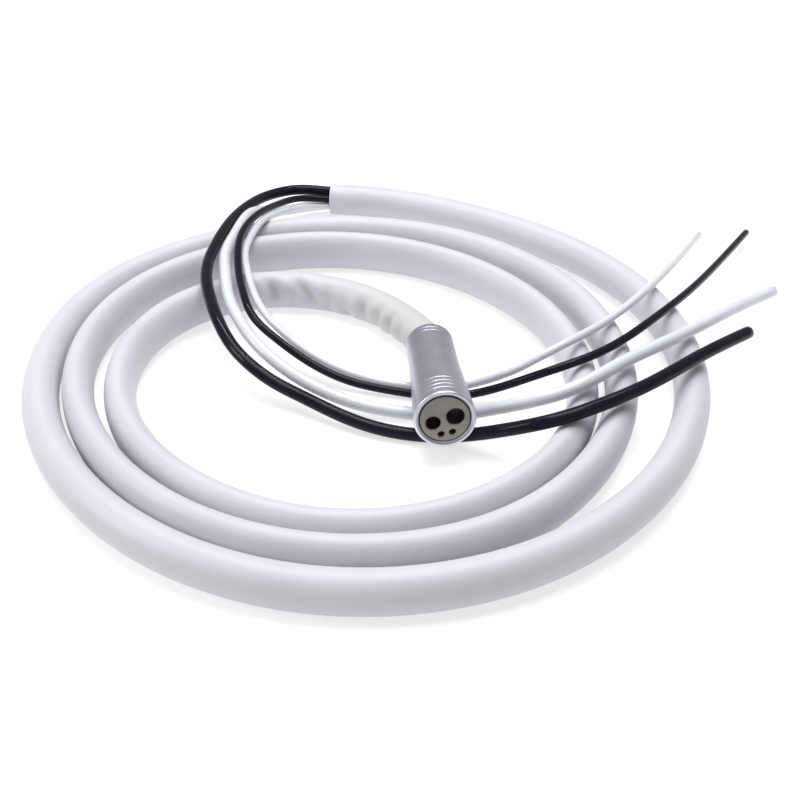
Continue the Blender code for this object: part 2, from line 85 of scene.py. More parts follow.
WAYS = {                        # spigot place (right, up), thick tube, side of the bundle
    "exhaust": ((0.00230, 0.00045), True, -1),
    "drive_air": ((-0.00245, -0.00045), True, 1),
    "chip_air": ((-0.00070, -0.00343), False, 1),
    "water": ((0.00159, -0.00312), False, -1),
}
TAILS = {                       # free tubes: route points beyond the sheath's cut end
    "drive_air": (
        (-0.0390, 0.0870, 0.0076), (-0.0465, 0.0815, 0.0088), (-0.0525, 0.0690, 0.0112),
        (-0.0565, 0.0530, 0.0132), (-0.0585, 0.0375, 0.0140), (-0.0590, 0.0235, 0.0140),
        (-0.0560, 0.0090, 0.0132), (-0.0530, 0.0005, 0.0122), (-0.0485, -0.0080, 0.0100),
        (-0.0435, -0.0135, 0.0080), (-0.0375, -0.0175, 0.0057), (-0.0310, -0.0210, 0.0042),
        (-0.0190, -0.0280, 0.0025), (-0.0070, -0.0325, 0.0018), (0.0035, -0.0340, 0.0020),
        (0.0155, -0.0385, 0.0070), (0.0285, -0.0415, 0.0128), (0.0375, -0.0380, 0.0138),
        (0.0505, -0.0295, 0.0138), (0.0645, -0.0175, 0.0133), (0.0800, -0.0040, 0.0115),
    ),
    "exhaust": (
        (-0.0375, 0.0850, 0.0025), (-0.0455, 0.0765, 0.0052), (-0.0515, 0.0600, 0.0124),
        (-0.0540, 0.0445, 0.0136), (-0.0550, 0.0315, 0.0140), (-0.0535, 0.0205, 0.0138),
        (-0.0515, 0.0105, 0.0132), (-0.0480, 0.0015, 0.0122), (-0.0435, -0.0060, 0.0104),
        (-0.0375, -0.0120, 0.0080), (-0.0315, -0.0160, 0.0058), (-0.0190, -0.0215, 0.0028),
        (-0.0070, -0.0245, 0.0019), (0.0025, -0.0258, 0.0019), (0.0160, -0.0310, 0.0080),
        (0.0295, -0.0325, 0.0132), (0.0445, -0.0220, 0.0140), (0.0620, -0.0080, 0.0132),
        (0.0760, 0.0040, 0.0123), (0.0925, 0.0185, 0.0102),
    ),
    "chip_air": (
        (-0.0370, 0.0820, 0.0070), (-0.0440, 0.0715, 0.0102), (-0.0485, 0.0570, 0.0140),
        (-0.0515, 0.0420, 0.0155), (-0.0515, 0.0320, 0.0150), (-0.0505, 0.0240, 0.0136),
        (-0.0480, 0.0130, 0.0130), (-0.0440, 0.0030, 0.0110), (-0.0385, -0.0020, 0.0085),
        (-0.0320, -0.0060, 0.0055), (-0.0195, -0.0120, 0.0022), (-0.0070, -0.0155, 0.0014),
        (0.0055, -0.0175, 0.0015), (0.0150, -0.0180, 0.0038), (0.0240, -0.0205, 0.0092),
        (0.0320, -0.0205, 0.0126), (0.0410, -0.0155, 0.0131), (0.0555, -0.0015, 0.0130),
        (0.0705, 0.0185, 0.0106), (0.0840, 0.0405, 0.0070), (0.0990, 0.0660, 0.0032),
    ),
    "water": (
        (-0.0365, 0.0810, 0.0045), (-0.0430, 0.0700, 0.0082), (-0.0475, 0.0555, 0.0124),
        (-0.0495, 0.0435, 0.0134), (-0.0500, 0.0345, 0.0134), (-0.0480, 0.0235, 0.0130),
        (-0.0455, 0.0140, 0.0124), (-0.0415, 0.0055, 0.0108), (-0.0360, 0.0000, 0.0080),
        (-0.0290, -0.0045, 0.0050), (-0.0172, -0.0095, 0.0020), (-0.0045, -0.0128, 0.0012),
        (0.0060, -0.0135, 0.0013), (0.0145, -0.0140, 0.0040), (0.0215, -0.0158, 0.0086),
        (0.0285, -0.0150, 0.0126), (0.0430, -0.0030, 0.0131), (0.0555, 0.0115, 0.0130),
        (0.0635, 0.0240, 0.0116), (0.0730, 0.0420, 0.0080), (0.0840, 0.0640, 0.0036),
    ),
}

# ---- How finely the surfaces are drawn -----------------------------------------------------------------
SHEATH_SIDES = 48
CREASED_LENGTH = 0.095          # the first stretch, where the sheath is crumpled
CREASED_STEP = 0.0006
PLAIN_STEP = 0.0021
CREASED_BORE_SKIP = 4           # the unseen bore takes every fourth creased row and every second plain one
PLAIN_BORE_SKIP = 2
THICK_TUBE_SIDES = 32
THIN_TUBE_SIDES = 24
HIDDEN_TUBE_STEP = 0.005
SHOWN_TUBE_STEP = 0.0015
CURVE_SAMPLES = 6000
HALF_SAMPLE = 0.0005

# ---- Cut ends ------------------------------------------------------------------------------------------
SHEATH_LIP_ROOM = 0.0004        # the last plain row lies this far before the cut
SHEATH_LIP_LENGTH = 0.00015
SHEATH_LIP_INSET = 0.00012
TUBE_LIP = 0.00012
TUBE_LEAD_OUT = 0.008           # a tube leaves the cut along the hose's own direction

# ---- Creases: place along the sheath, half length, middle angle, spread, depth, slant ------------------
CREASES = (
    (0.0205, 0.0018, 195, 40, 0.00035, 0.0000),
    (0.0265, 0.0020, 190, 44, 0.00060, 0.0000),
    (0.0325, 0.0018, 178, 48, 0.00078, 0.0003),
    (0.0378, 0.0016, 180, 44, 0.00070, 0.0004),
    (0.0410, 0.0022, 205, 32, 0.00050, -0.0010),
    (0.0445, 0.0018, 175, 44, 0.00075, 0.0006),
    (0.0505, 0.0017, 208, 30, 0.00070, 0.0000),
    (0.0560, 0.0018, 185, 36, 0.00065, -0.0006),
    (0.0620, 0.0024, 165, 48, 0.00080, -0.0042),
    (0.0672, 0.0018, 195, 34, 0.00055, 0.0008),
    (0.0725, 0.0020, 165, 50, 0.00085, -0.0016),
    (0.0790, 0.0024, 150, 36, 0.00050, -0.0010),
)
CREASE_LIMIT = 0.0009           # the deepest that creases may reach where they meet
BULGE_SHARE = 0.42              # of a crease's depth, pushed out beside it
BULGE_PLACE = 1.9               # half lengths from the crease's middle


# ---- Lines ---------------------------------------------------------------------------------------------
def cubic(knots, values):
    """Natural cubic spline through values at knots, as a function of an array of parameters."""
    knots = np.asarray(knots, float)
    values = np.asarray(values, float)
    steps = np.diff(knots)[:, None]
    slopes = np.diff(values, axis=0) / steps
    count = len(knots)
    matrix = np.eye(count)
    right = np.zeros_like(values)
    inner = np.arange(1, count - 1)
    matrix[inner, inner - 1] = steps[:-1, 0]
    matrix[inner, inner] = 2 * (steps[:-1, 0] + steps[1:, 0])
    matrix[inner, inner + 1] = steps[1:, 0]
    right[1:-1] = 6 * (slopes[1:] - slopes[:-1])
    bends = np.linalg.solve(matrix, right)

    def at(parameters):
        parameters = np.asarray(parameters, float)
        span = np.clip(np.searchsorted(knots, parameters, side="right") - 1, 0, count - 2)
        step = steps[span]
        after = (knots[span + 1] - parameters)[:, None]
        before = (parameters - knots[span])[:, None]
        curved = (bends[span] * after**3 + bends[span + 1] * before**3) / (6 * step)
        straight = (values[span] / step - bends[span] * step / 6) * after
        return curved + straight + (values[span + 1] / step - bends[span + 1] * step / 6) * before

    return at


def chord_lengths(points):
    """Distance along the chords from the first point to each point."""
    return np.concatenate([[0.0], np.cumsum(np.linalg.norm(np.diff(points, axis=0), axis=1))])


def unit(vectors):
    """Vectors scaled to length one."""
    return vectors / np.linalg.norm(vectors, axis=-1, keepdims=True)


def side_axes(heading):
    """Level axis to the right of each heading, and the axis square to both, pointing up."""
    level = unit(np.stack([heading[:, 1], -heading[:, 0], np.zeros(len(heading))], axis=1))
    return level, np.cross(level, heading)


def coupling_axes():
    """The coupling's right, up and forward axes as the rows of a matrix."""
    turn, rise = radians(COUPLING_TURN), radians(COUPLING_RISE)
    forward = np.array([sin(turn) * cos(rise), -cos(turn) * cos(rise), sin(rise)])
    right = np.array([cos(turn), sin(turn), 0.0])
    return np.array([right, np.cross(forward, right), forward])


AXES = coupling_axes()


def on_coupling(points):
    """Points given as (right, up, forward) from the face's centre, in the model's frame."""
    return np.asarray(points, float) @ AXES + np.array(FACE_CENTRE)


def half_sizes(turn):
    """Half width and half height of the sheath's outside at a turn angle: bent stretches are taller."""
    share = np.interp(turn, OVAL_ANGLES, OVAL_SHARES)
    return HOSE_RADIUS * (1 - share), HOSE_RADIUS * (1 + share)


def hose_route():
    """Route of the hose's centre: out of the coupling, through the lead, round the coil, to the cut end."""
    axis = on_coupling([(0, 0, depth) for depth in (SHEATH_START, FERRULE_REAR, NUT_EXIT)])
    degrees = COIL_FIRST_ANGLE + COIL_STEP * np.arange(len(COIL_RADII))
    angles = np.radians(degrees)
    coil = np.stack([
        COIL_CENTRE[0] + np.array(COIL_RADII) * np.cos(angles),
        COIL_CENTRE[1] + np.array(COIL_RADII) * np.sin(angles),
        half_sizes(degrees)[1],
    ], axis=1)
    end = (*HOSE_END, half_sizes(OVAL_ANGLES[-1])[1])
    return np.vstack([axis, LEAD_POINTS, coil, end])


ROUTE = hose_route()
ROUTE_PLACES = chord_lengths(ROUTE)
HOSE_LENGTH = ROUTE_PLACES[-1]
hose_curve = cubic(ROUTE_PLACES, ROUTE)


def hose_turns():
    """Turn angle of the hose round the coil's centre, at fine places along it."""
    places = np.linspace(0, HOSE_LENGTH, CURVE_SAMPLES)
    trace = hose_curve(places)
    turns = np.unwrap(np.arctan2(trace[:, 1] - COIL_CENTRE[1], trace[:, 0] - COIL_CENTRE[0]))
    return places, np.degrees(turns) - 360


FINE_PLACES, FINE_TURNS = hose_turns()


def hose_sections(places):
    """Centre, level axis, up axis and turn angle of the hose at places along it."""
    ahead = np.minimum(places + HALF_SAMPLE, HOSE_LENGTH)
    behind = np.maximum(places - HALF_SAMPLE, 0)
    level, up = side_axes(unit(hose_curve(ahead) - hose_curve(behind)))
    return hose_curve(places), level, up, np.interp(places, FINE_PLACES, FINE_TURNS)


# ---- Surfaces ------------------------------------------------------------------------------------------
def is_inside_out(corners):
    """Whether a closed skin's faces point inwards: its volume, summed over its faces, is then negative."""
    volume = 0.0
    for middle in (1, 2):
        crossed = np.cross(corners[:, middle], corners[:, middle + 1])
        volume += np.sum(corners[:, 0] * crossed)
    return volume < 0


def grid_piece(name, points, finish, measures, sharp=None):
    """A closed skin from a grid of points (rows, sides, 3) that wraps round both ways.

    Face (i, j) joins rows i and i + 1 and sides j and j + 1.  measures gives each row's length along the
    surface and the girth, in metres, for the UV map, so that patterns keep their size.
    """
    rows, sides = points.shape[:2]
    row, side = np.meshgrid(np.arange(rows), np.arange(sides), indexing="ij")
    near, far = row * sides, (row + 1) % rows * sides
    ahead = (side + 1) % sides
    faces = np.stack([near + side, near + ahead, far + ahead, far + side], axis=-1).reshape(-1, 4)
    flat = points.reshape(-1, 3)
    lengths, girth = measures
    lengths = np.append(lengths, lengths[-1])
    u = np.stack([lengths[row], lengths[row], lengths[row + 1], lengths[row + 1]], axis=-1)
    v = np.stack([side, side + 1, side + 1, side], axis=-1) * girth / sides
    uv = np.stack([u, v], axis=-1).reshape(-1, 4, 2)
    if is_inside_out(flat[faces]):
        faces, uv = faces[:, ::-1], uv[:, ::-1]
    mesh = bpy.data.meshes.new(name)
    mesh.from_pydata(flat, [], faces)
    layer = mesh.uv_layers.new(name="surface")
    layer.data.foreach_set("uv", uv.astype(np.float32).ravel())
    mesh.shade_smooth()
    if sharp:
        mesh.set_sharp_from_angle(angle=radians(sharp))
    mesh.materials.append(finish)
    piece = bpy.data.objects.new(name, mesh)
    bpy.context.scene.collection.objects.link(piece)
    return piece


def vertex_values(piece, name, values):
    """Give each vertex of a piece one number that its finish reads by name."""
    layer = piece.data.attributes.new(name, "FLOAT", "POINT")
    layer.data.foreach_set("value", np.asarray(values, np.float32).ravel())


def creases(places, angles):
    """Depth of the sheath's creases: a sum of slanted dents, each a bell along the hose and one round it.

    Beside each dent the skin bulges out a little on both sides.
    """
    depth = np.zeros((len(places), len(angles)))
    for place, half_length, middle, spread, deepest, slant in CREASES:
        off = angles[None, :] - radians(middle)
        along = (places[:, None] - place - slant * off) / half_length
        round_it = deepest * np.exp(-((off / radians(spread)) ** 2))
        depth += round_it * np.exp(-(along**2))
        depth -= BULGE_SHARE * round_it * np.exp(-((np.abs(along) - BULGE_PLACE) ** 2))
    return np.minimum(depth, CREASE_LIMIT)


def sheath_points():
    """The sheath as one closed skin: outside from coupling to cut, round the lip, back along the bore.

    Point (s, a) is the centre at s, plus half width times cos a to the side, plus half height times sin a
    up, less the creases.  The lip is rounded by shrinking the last outer row a little.
    """
    creased = np.arange(0, CREASED_LENGTH, CREASED_STEP)
    plain_count = int((HOSE_LENGTH - CREASED_LENGTH) / PLAIN_STEP)
    plain = np.linspace(CREASED_LENGTH, HOSE_LENGTH - SHEATH_LIP_ROOM, plain_count)
    lip = HOSE_LENGTH - np.array([SHEATH_LIP_LENGTH, 0.0])
    outer_places = np.concatenate([creased, plain, lip])
    bore_places = np.concatenate([lip[::-1], plain[::-PLAIN_BORE_SKIP], creased[::-CREASED_BORE_SKIP]])
    places = np.concatenate([outer_places, bore_places])
    is_bore = np.arange(len(places)) >= len(outer_places)
    centre, level, up, turn = hose_sections(places)
    wide, high = half_sizes(turn)
    in_ferrule = ~is_bore & (places < SHEATH_START - FERRULE_REAR)
    at_cut = ~is_bore & (places > HOSE_LENGTH - SHEATH_LIP_LENGTH / 2)
    inset = SHEATH_WALL * is_bore + SHEATH_SQUEEZE * in_ferrule + SHEATH_LIP_INSET * at_cut
    angles = np.linspace(0, 2 * pi, SHEATH_SIDES, endpoint=False)
    dents = creases(places, angles) * ~is_bore[:, None]
    across = (wide - inset)[:, None] - dents
    over = (high - inset)[:, None] - dents
    points = centre[:, None] + (across * np.cos(angles))[..., None] * level[:, None]
    points += (over * np.sin(angles))[..., None] * up[:, None]
    return points, places, dents


def bundle_offset(thick, way_side, turn):
    """Where a tube's centre lies in the sheath's bore: thick tubes on the outer side, thin ones inside."""
    radius = THICK_TUBE_RADIUS if thick else THIN_TUBE_RADIUS
    wide, high = (half - SHEATH_WALL - radius - BORE_CLEARANCE for half in half_sizes(turn))
    roll = np.interp(turn, ROLL_ANGLES, ROLL_DEGREES)
    if thick:
        lean = np.interp(roll, (0, ROLL_DEGREES[0]), (70, 90))
        angle = roll + lean * way_side
    else:
        part = np.degrees(np.arcsin((THIN_TUBE_RADIUS + TUBE_GAP / 2) / high))
        angle = roll + 180 - part * way_side
    return wide * np.cos(np.radians(angle)), high * np.sin(np.radians(angle))


def tube_line(name):
    """A tube's whole centre line: off its spigot, through the sheath, then along its free route."""
    (right, up_off), thick, way_side = WAYS[name]
    start = on_coupling([(right, up_off, TUBE_START), (right, up_off, TUBE_STRAIGHT)])
    places = np.linspace(0, HOSE_LENGTH, int(HOSE_LENGTH / HIDDEN_TUBE_STEP))
    centre, level, up, turn = hose_sections(places)
    out, lift = bundle_offset(thick, way_side, turn)
    hidden = centre + out[:, None] * level + lift[:, None] * up
    heading = unit(hose_curve([HOSE_LENGTH]) - hose_curve([HOSE_LENGTH - 2 * HALF_SAMPLE]))[0]
    tail = np.vstack([hidden[-1] - TUBE_LEAD_OUT * heading, hidden[-1], TAILS[name]])
    along = chord_lengths(tail)
    count = int((along[-1] - along[1]) / SHOWN_TUBE_STEP)
    shown = cubic(along, tail)(np.linspace(along[1], along[-1], count))[1:]
    return np.vstack([start, hidden, shown])


def tube_points(line, radius, bore, sides):
    """A hollow tube as one closed skin: a circle carried along the line, outside out and bore back."""
    heading = unit(np.gradient(line, axis=0))
    level, up = side_axes(heading)
    lip = min(TUBE_LIP, (radius - bore) / 4)
    rows = np.arange(len(line))
    order = np.concatenate([rows, rows[-1:], rows[::-1], rows[:1]])
    outer, inner = np.full(len(line), radius), np.full(len(line), bore)
    radii = np.concatenate([outer, [radius - lip], inner, [radius - lip]])
    shift = np.zeros(len(order))
    shift[len(line)] = lip
    shift[-1] = -lip
    angles = np.linspace(0, 2 * pi, sides, endpoint=False)
    centre = line[order] + shift[:, None] * heading[order]
    points = centre[:, None] + (radii[:, None] * np.cos(angles))[..., None] * level[order][:, None]
    return points + (radii[:, None] * np.sin(angles))[..., None] * up[order][:, None]


# ---- Finishes ------------------------------------------------------------------------------------------
class Value:
    """A node's output in a material.  Python's operators on it add Math nodes."""

    def __init__(self, finish, socket):
        self.finish, self.socket = finish, socket

    def maths(self, operation, *values):
        return self.finish.node("ShaderNodeMath", {"operation": operation}, dict(enumerate(values)))

    def __add__(self, other):
        return self.maths("ADD", self, other)

    def __sub__(self, other):
        return self.maths("SUBTRACT", self, other)

    def __mul__(self, other):
        return self.maths("MULTIPLY", self, other)

    def __rsub__(self, other):
        return self.maths("SUBTRACT", other, self)

    __radd__ = __add__
    __rmul__ = __mul__


class Finish:
    """A procedural material: a Principled shader and the nodes that feed it."""

    def __init__(self, name):
        self.material = bpy.data.materials.new(name)
        self.material.use_nodes = True
        self.tree = self.material.node_tree
        self.shader = self.tree.nodes["Principled BSDF"]

    def node(self, kind, settings, values, output=0):
        """Add a node: settings first, then each socket gets a value or a link.  Returns one output."""
        made = self.tree.nodes.new(kind)
        for key, setting in settings.items():
            setattr(made, key, setting)
        for key, value in values.items():
            if isinstance(value, Value):
                self.tree.links.new(value.socket, made.inputs[key])
            else:
                made.inputs[key].default_value = value
        return Value(self, made.outputs[output])

    def place(self, coordinates="Object"):
        return self.node("ShaderNodeTexCoord", {}, {}, coordinates)

    def stretched(self, vector, scale):
        return self.node("ShaderNodeMapping", {}, {"Vector": vector, "Scale": scale})

    def noise(self, vector, scale, detail=3.0, roughness=0.5):
        values = {"Vector": vector, "Scale": scale, "Detail": detail, "Roughness": roughness}
        return self.node("ShaderNodeTexNoise", {}, values, "Fac")

    def given(self, name):
        """The number that vertex_values gave each vertex under a name."""
        return self.node("ShaderNodeAttribute", {"attribute_name": name}, {}, "Fac")

    def mix(self, factor, one, two):
        """A colour between two colours."""
        settings = {"data_type": "RGBA", "blend_type": "MIX"}
        factor_socket, first_socket, second_socket, colour_output = 0, 6, 7, 2
        values = {factor_socket: factor, first_socket: one, second_socket: two}
        return self.node("ShaderNodeMix", settings, values, colour_output)

    def vector(self, operation, *values, output="Vector"):
        return self.node("ShaderNodeVectorMath", {"operation": operation}, dict(enumerate(values)), output)

    def bump(self, height, strength, distance):
        values = {"Height": height, "Strength": strength, "Distance": distance}
        return self.node("ShaderNodeBump", {}, values)

    def done(self, **inputs):
        """Set the shader's own sockets, named with _ for a space, and return the material."""
        for key, value in inputs.items():
            socket = self.shader.inputs[key.replace("_", " ")]
            if isinstance(value, Value):
                self.tree.links.new(value.socket, socket)
            else:
                socket.default_value = value
        return self.material


def silicone():
    """Soft lavender-grey sheath: faint mottling, drawn streaks along the hose, a low even sheen, painted
    shade in the creases.
    """
    finish = Finish("sheath_silicone")
    skin = finish.place("UV")
    mottle = finish.noise(finish.place(), 60, 4)
    streaks = finish.noise(finish.stretched(skin, (30, 2400, 1)), 1.0, 2)
    grain = finish.noise(skin, 9000, 2)
    clean = finish.mix(mottle, (0.525, 0.508, 0.560, 1), (0.585, 0.568, 0.620, 1))
    handled = finish.given("handled")
    creased = finish.given("creased")
    toned = finish.mix(handled * (0.5 + mottle * 0.5), clean, (0.50, 0.50, 0.475, 1))
    # Painted shade: the base colour is darkened in the creases, more where they are deeper.
    colour = finish.mix(creased * 0.55, toned, (0.27, 0.265, 0.28, 1))
    height = streaks * 0.6 + grain * 0.4
    return finish.done(
        Base_Color=colour,
        Roughness=0.40 + mottle * 0.12,
        Normal=finish.bump(height, 0.25, 0.00006),
        Coat_Weight=0.10,
        Coat_Roughness=0.35,
        Subsurface_Weight=0.12,
        Subsurface_Radius=(0.004, 0.003, 0.004),
        Subsurface_Scale=0.3,
        IOR=1.42,
    )


def black_urethane():
    """Glossy black tube: near-black with a cold cast, faint drawing lines and handling haze."""
    finish = Finish("black_tube")
    skin = finish.place("UV")
    streaks = finish.noise(finish.stretched(skin, (25, 4000, 1)), 1.0, 3)
    haze = finish.noise(finish.place(), 140, 4)
    colour = finish.mix(haze, (0.006, 0.005, 0.010, 1), (0.013, 0.012, 0.021, 1))
    return finish.done(
        Base_Color=colour,
        Roughness=0.09 + haze * 0.06 + streaks * 0.05,
        Normal=finish.bump(streaks, 0.18, 0.00005),
        Specular_IOR_Level=0.22,
        IOR=1.36,
    )


def clear_urethane():
    """Milky translucent tube: cloudy body, clear gloss, fine drawing lines."""
    finish = Finish("clear_tube")
    skin = finish.place("UV")
    streaks = finish.noise(finish.stretched(skin, (25, 3500, 1)), 1.0, 3)
    cloud = finish.noise(finish.place(), 90, 4)
    colour = finish.mix(cloud, (0.60, 0.61, 0.66, 1), (0.68, 0.69, 0.74, 1))
    return finish.done(
        Base_Color=colour,
        Roughness=0.20 + cloud * 0.10 + streaks * 0.05,
        Normal=finish.bump(streaks, 0.12, 0.00005),
        Coat_Weight=0.30,
        Coat_Roughness=0.12,
        Subsurface_Weight=0.15,
        Subsurface_Radius=(0.002, 0.002, 0.002),
        Subsurface_Scale=0.5,
        IOR=1.45,
    )


def turned_metal(name, dark, light, roughness):
    """Turned metal: fine lines round the axis (they vary along u), cloudy tone, edges painted bright,
    partly as wear and partly as painted highlight.
    """
    finish = Finish(name)
    skin = finish.place("UV")
    cuts = finish.noise(finish.stretched(skin, (26000, 60, 1)), 1.0, 3)
    cloud = finish.noise(finish.place(), 260, 4)
    wear_and_highlight = finish.given("wear_and_highlight")
    tone = finish.mix(cloud, (*dark, 1), (*light, 1))
    # Edges are mixed towards near-white: partly wear, partly painted highlight.
    colour = finish.mix(wear_and_highlight * (0.55 + cloud * 0.6), tone, (0.86, 0.87, 0.90, 1))
    return finish.done(
        Base_Color=colour,
        Metallic=1.0,
        Roughness=roughness + cuts * 0.14 + cloud * 0.06 - wear_and_highlight * 0.10,
        Normal=finish.bump(cuts, 0.22, 0.00002),
    )


def faced_metal(name, dark, light, roughness):
    """Metal faced on a lathe: fine rings round the coupling's axis, and painted shade down in its holes."""
    finish = Finish(name)
    place = finish.place()
    axis = tuple(AXES[2])
    from_face = finish.vector("SUBTRACT", place, FACE_CENTRE)
    across = finish.vector("CROSS_PRODUCT", from_face, axis)
    radius = finish.vector("LENGTH", across, output="Value")
    depth = finish.vector("DOT_PRODUCT", from_face, axis, output="Value")
    ring_values = {"W": radius + depth * 0.7, "Scale": 9000, "Detail": 3}
    rings = finish.node("ShaderNodeTexNoise", {"noise_dimensions": "1D"}, ring_values, "Fac")
    cloud = finish.noise(place, 420, 5)
    speck = finish.noise(place, 2600, 2)
    # Painted shade: the colour darkens with depth into the holes.
    hole_shade_range = {"Value": depth, "From Min": -0.0003, "From Max": -0.0018}
    hole_shade = finish.node("ShaderNodeMapRange", {}, hole_shade_range)
    faced = finish.mix(cloud * 0.7 + rings * 0.3, (*dark, 1), (*light, 1))
    colour = finish.mix(hole_shade, faced, (0.20, 0.17, 0.205, 1))
    return finish.done(
        Base_Color=colour,
        Metallic=1.0,
        Roughness=roughness + rings * 0.12 + speck * 0.08,
        Normal=finish.bump(rings * 0.7 + speck * 0.3, 0.20, 0.00002),
    )


def plain_part(name, dark, light, metallic, roughness):
    """A small inner part: one tone with a little cloud, fine grain in the gloss."""
    finish = Finish(name)
    cloud = finish.noise(finish.place(), 500, 4)
    grain = finish.noise(finish.place(), 6000, 2)
    return finish.done(
        Base_Color=finish.mix(cloud, (*dark, 1), (*light, 1)),
        Metallic=metallic,
        Roughness=roughness + grain * 0.12,
        Normal=finish.bump(grain, 0.15, 0.00003),
    )


SHEATH_FINISH = silicone()
BLACK_FINISH = black_urethane()
CLEAR_FINISH = clear_urethane()
NUT_FINISH = turned_metal("nut_aluminium", (0.43, 0.43, 0.50), (0.53, 0.53, 0.60), 0.30)
CORE_FINISH = faced_metal("core_steel", (0.17, 0.165, 0.145), (0.33, 0.32, 0.285), 0.30)
STEEL_FINISH = plain_part("drawn_steel", (0.50, 0.50, 0.51), (0.62, 0.62, 0.63), 1.0, 0.22)
BRASS_FINISH = plain_part("drawn_brass", (0.62, 0.44, 0.18), (0.78, 0.60, 0.28), 1.0, 0.24)
ACETAL_FINISH = plain_part("washer_acetal", (0.82, 0.82, 0.79), (0.90, 0.90, 0.88), 0.0, 0.38)


# ---- Camera --------------------------------------------------------------------------------------------
def camera():
    """A camera before the coupling's side, 36 degrees above the horizon, looking along +Y."""
    data = bpy.data.cameras.new("camera")
    data.lens = 48.9
    data.sensor_width = 36.0
    data.clip_start = 0.01
    made = bpy.data.objects.new("camera", data)
    made.location = (-0.0070, -0.2336, 0.1574)
    made.rotation_euler = (radians(54), 0, 0)
    bpy.context.scene.collection.objects.link(made)
    bpy.context.scene.camera = made


camera()


# ---- Sheath and tubes ----------------------------------------------------------------------------------
HANDLED_END = 0.062             # the handled tone is gone by here along the sheath
HANDLED_FADE = 0.030            # and fades over this length before it
# how sharply the painted shade in the creases grows with their depth
CREASE_SHADE_CONTRAST = 1.5
PATH_STEP = 0.003


def sheath():
    """The outer hose, with its handled tone near the coupling and painted shade darkening its creases."""
    points, places, dents = sheath_points()
    girth = 2 * pi * HOSE_RADIUS
    piece = grid_piece("hose_sheath_skin", points, SHEATH_FINISH, (places, girth))
    near_coupling = np.clip((HANDLED_END - places) / HANDLED_FADE, 0, 1)
    vertex_values(piece, "handled", np.repeat(near_coupling, SHEATH_SIDES))
    # How deep each vertex lies in a crease, for the painted shade in the creases.
    vertex_values(piece, "creased", np.clip(dents / CREASE_LIMIT, 0, 1) ** CREASE_SHADE_CONTRAST)
    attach(piece, "root")
    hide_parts("hose_sheath")
    path = hose_curve(np.arange(0, HOSE_LENGTH, PATH_STEP))


def tube(name):
    """One inner tube, from its spigot to its free end."""
    thick = WAYS[name][1]
    radius = THICK_TUBE_RADIUS if thick else THIN_TUBE_RADIUS
    bore = THICK_BORE_RADIUS if thick else THIN_BORE_RADIUS
    sides = THICK_TUBE_SIDES if thick else THIN_TUBE_SIDES
    black = name in ("drive_air", "chip_air")
    line = tube_line(name)
    points = tube_points(line, radius, bore, sides)
    along = chord_lengths(line)
    lengths = np.concatenate([along, [along[-1]], along[::-1], [0.0]])
    finish = BLACK_FINISH if black else CLEAR_FINISH
    piece = grid_piece(name + "_tube_skin", points, finish, (lengths, 2 * pi * radius))
    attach(piece, "root")
    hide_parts(name + "_tube")


sheath()
for way_name in WAYS:
    tube(way_name)


# ---- Coupling ------------------------------------------------------------------------------------------
ROUND_SIDES = 160
RIM_RADIUS = 0.00705
THREAD_MINOR = 0.00578
THREAD_MAJOR = 0.00612
THREAD_PITCH = 0.0006
THREAD_ROWS_PER_PITCH = 8
THREAD_SLOPE = 2.4              # of a flank, against a plain triangle wave's
THREAD_ROOT = 0.7               # share of that slope that is cut off as the thread's flat root
FLARE_DEPTHS = (0.0012, 0.0120, 0.0220, 0.0360)
FLARE_RADII = (0.00703, 0.00655, 0.00612, 0.0060)
FIRST_OUTSIDE_ROW = -0.0009
LAST_OUTSIDE_ROW = NUT_REAR + 0.0008
OUTSIDE_ROW_STEP = 0.00006
GROOVES = (                     # front edges, middle behind the edge, depth, half width, how much the edges are lightened as wear and painted highlight
    ((-0.0017, -0.0035, -0.0053, -0.0071), 0.00045, 0.00008, 0.00034, 0.45),
    ((-0.0335, -0.0352), 0.00030, 0.00006, 0.00022, 0.30),
)
EDGE_PLACE = 1.25               # where a groove's lightened edges (wear and painted highlight) lie, and how wide they are, in half widths
EDGE_WIDTH = 0.45
REAR_ROUND = 0.00025            # round of the rear lip, from its outside
REAR_ROUND_CENTRE = (0.00575, NUT_REAR + 0.0004)
NUT_BORE = 0.00545
NUT_BORE_ROWS = 24
NUT_BORE_START = NUT_REAR + 0.0003
REAR_CHAMFER = 0.0001
SHOULDER_RADIUS = 0.00505
SHOULDER_REAR = -0.0096
SHOULDER_FRONT = -0.0086
SHOULDER_BREAK = 0.00005
THREAD_REAR = -0.0085
THREAD_FRONT = -0.0005
MOUTH = (                       # (radius, depth) from the thread's last turn to the rim
    (0.00578, -0.0004),
    (0.00582, -0.0002),
    (0.00610, 0.00006),
    (0.00640, NUT_FRONT - 0.00003),
    (0.00650, NUT_FRONT),
)
RIM_ROUND = 0.00044
RIM_ROUND_CENTRE = (0.00660, NUT_FRONT - RIM_ROUND)
# Rim and rear lip are painted lighter all round: partly wear, partly painted highlight.
RIM_WEAR_AND_HIGHLIGHT = 0.55
REAR_WEAR_AND_HIGHLIGHT = 0.35


def flare(depths):
    """The nut's plain outside: a smooth spline through its radii, wider towards the front."""
    spline = cubic(FLARE_DEPTHS, np.array(FLARE_RADII)[:, None])
    return spline(np.clip(-depths, FLARE_DEPTHS[0], FLARE_DEPTHS[-1]))[:, 0]


def arc(centre_radius, centre_depth, size, start, end, count=7):
    """Points (radius, depth) of an arc round a centre, angles in degrees from outward towards the front."""
    angles = np.radians(np.linspace(start, end, count))
    return np.stack([centre_radius + size * np.cos(angles), centre_depth + size * np.sin(angles)], axis=1)


def groove(depths, middle, depth, half_width):
    """Depth of a round-bottomed groove at each depth along the nut, and how much its two edges are
    lightened as wear and painted highlight.
    """
    off = np.abs(depths - middle) / half_width
    cut = depth * np.exp(-(off**4))
    wear_and_highlight = np.exp(-(((off - EDGE_PLACE) / EDGE_WIDTH) ** 2))
    return cut, wear_and_highlight


